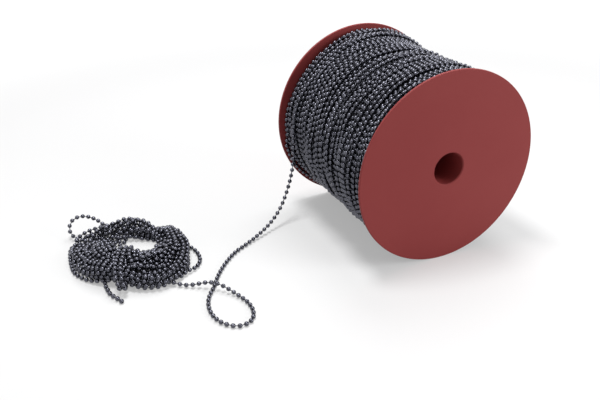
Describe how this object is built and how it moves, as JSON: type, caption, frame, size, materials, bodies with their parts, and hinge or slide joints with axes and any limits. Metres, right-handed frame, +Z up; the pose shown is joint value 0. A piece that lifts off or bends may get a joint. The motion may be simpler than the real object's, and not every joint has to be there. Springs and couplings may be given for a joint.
{
  "type": "ball chain on a reel",
  "caption": "Dark steel ball chain wound on a plain red plastic reel, with one strand drawn off into a tied loose hank.",
  "frame": {"origin": "on the surface the reel lies on, under the middle of the reel", "axes": "+Z up; the reel's axis is parallel to Y, its front flange faces -Y, and the strand is drawn off towards -X"},
  "size_m": [0.4296, 0.2222, 0.19],
  "materials": {
    "red_plastic": "matte",
    "chain_steel": "satin"
  },
  "bodies": {
    "loose_chain": {"free_strand": "chain_steel", "loose_hank": "chain_steel", "hank_tie": "chain_steel", "stray_loop": "chain_steel", "side_loop": "chain_steel", "tail_lead": "chain_steel", "tail_ball_0": "chain_steel"},
    "reel": {"front_flange": "red_plastic", "rear_flange": "red_plastic", "winding_barrel": "red_plastic", "arbor_tube": "red_plastic", "wound_chain_inner": "chain_steel", "wound_chain_outer": "chain_steel"},
    "tail_pin_1_body": {"tail_pin_1": "chain_steel"},
    "tail_ball_1_body": {"tail_ball_1": "chain_steel"},
    "tail_pin_2_body": {"tail_pin_2": "chain_steel"},
    "tail_ball_2_body": {"tail_ball_2": "chain_steel"},
    "tail_pin_3_body": {"tail_pin_3": "chain_steel"},
    "tail_ball_3_body": {"tail_ball_3": "chain_steel"},
    "tail_pin_4_body": {"tail_pin_4": "chain_steel"},
    "tail_ball_4_body": {"tail_ball_4": "chain_steel"}
  },
  "joints": [
    {"name": "reel_spin", "type": "hinge", "parent": "loose_chain", "child": "reel", "pos_m": [0, 0, 0.095], "axis": [0, 1, 0], "continuous": true},
    {"name": "pin_1_tilt", "type": "hinge", "parent": "loose_chain", "child": "tail_pin_1_body", "pos_m": [-0.30814, -0.00759, 0.00225], "axis": [0, 0, 1], "range_deg": [-27, 3]},
    {"name": "ball_1_tilt", "type": "hinge", "parent": "tail_pin_1_body", "child": "tail_ball_1_body", "pos_m": [-0.30778, -0.01097, 0.00225], "axis": [0, 0, 1], "range_deg": [-20, 10]},
    {"name": "pin_2_tilt", "type": "hinge", "parent": "tail_ball_1_body", "child": "tail_pin_2_body", "pos_m": [-0.30728, -0.01353, 0.00225], "axis": [0, 0, 1], "range_deg": [-21, 9]},
    {"name": "ball_2_tilt", "type": "hinge", "parent": "tail_pin_2_body", "child": "tail_ball_2_body", "pos_m": [-0.30629, -0.01678, 0.00225], "axis": [0, 0, 1], "range_deg": [-20, 10]},
    {"name": "pin_3_tilt", "type": "hinge", "parent": "tail_ball_2_body", "child": "tail_pin_3_body", "pos_m": [-0.30532, -0.01919, 0.00225], "axis": [0, 0, 1], "range_deg": [-19, 11]},
    {"name": "ball_3_tilt", "type": "hinge", "parent": "tail_pin_3_body", "child": "tail_ball_3_body", "pos_m": [-0.30383, -0.02224, 0.00225], "axis": [0, 0, 1], "range_deg": [-14, 16]},
    {"name": "pin_4_tilt", "type": "hinge", "parent": "tail_ball_3_body", "child": "tail_pin_4_body", "pos_m": [-0.30273, -0.0246, 0.00225], "axis": [0, 0, 1], "range_deg": [-12, 18]},
    {"name": "ball_4_tilt", "type": "hinge", "parent": "tail_pin_4_body", "child": "tail_ball_4_body", "pos_m": [-0.30145, -0.02775, 0.00225], "axis": [0, 0, 1], "range_deg": [-12, 18]}
  ]
}
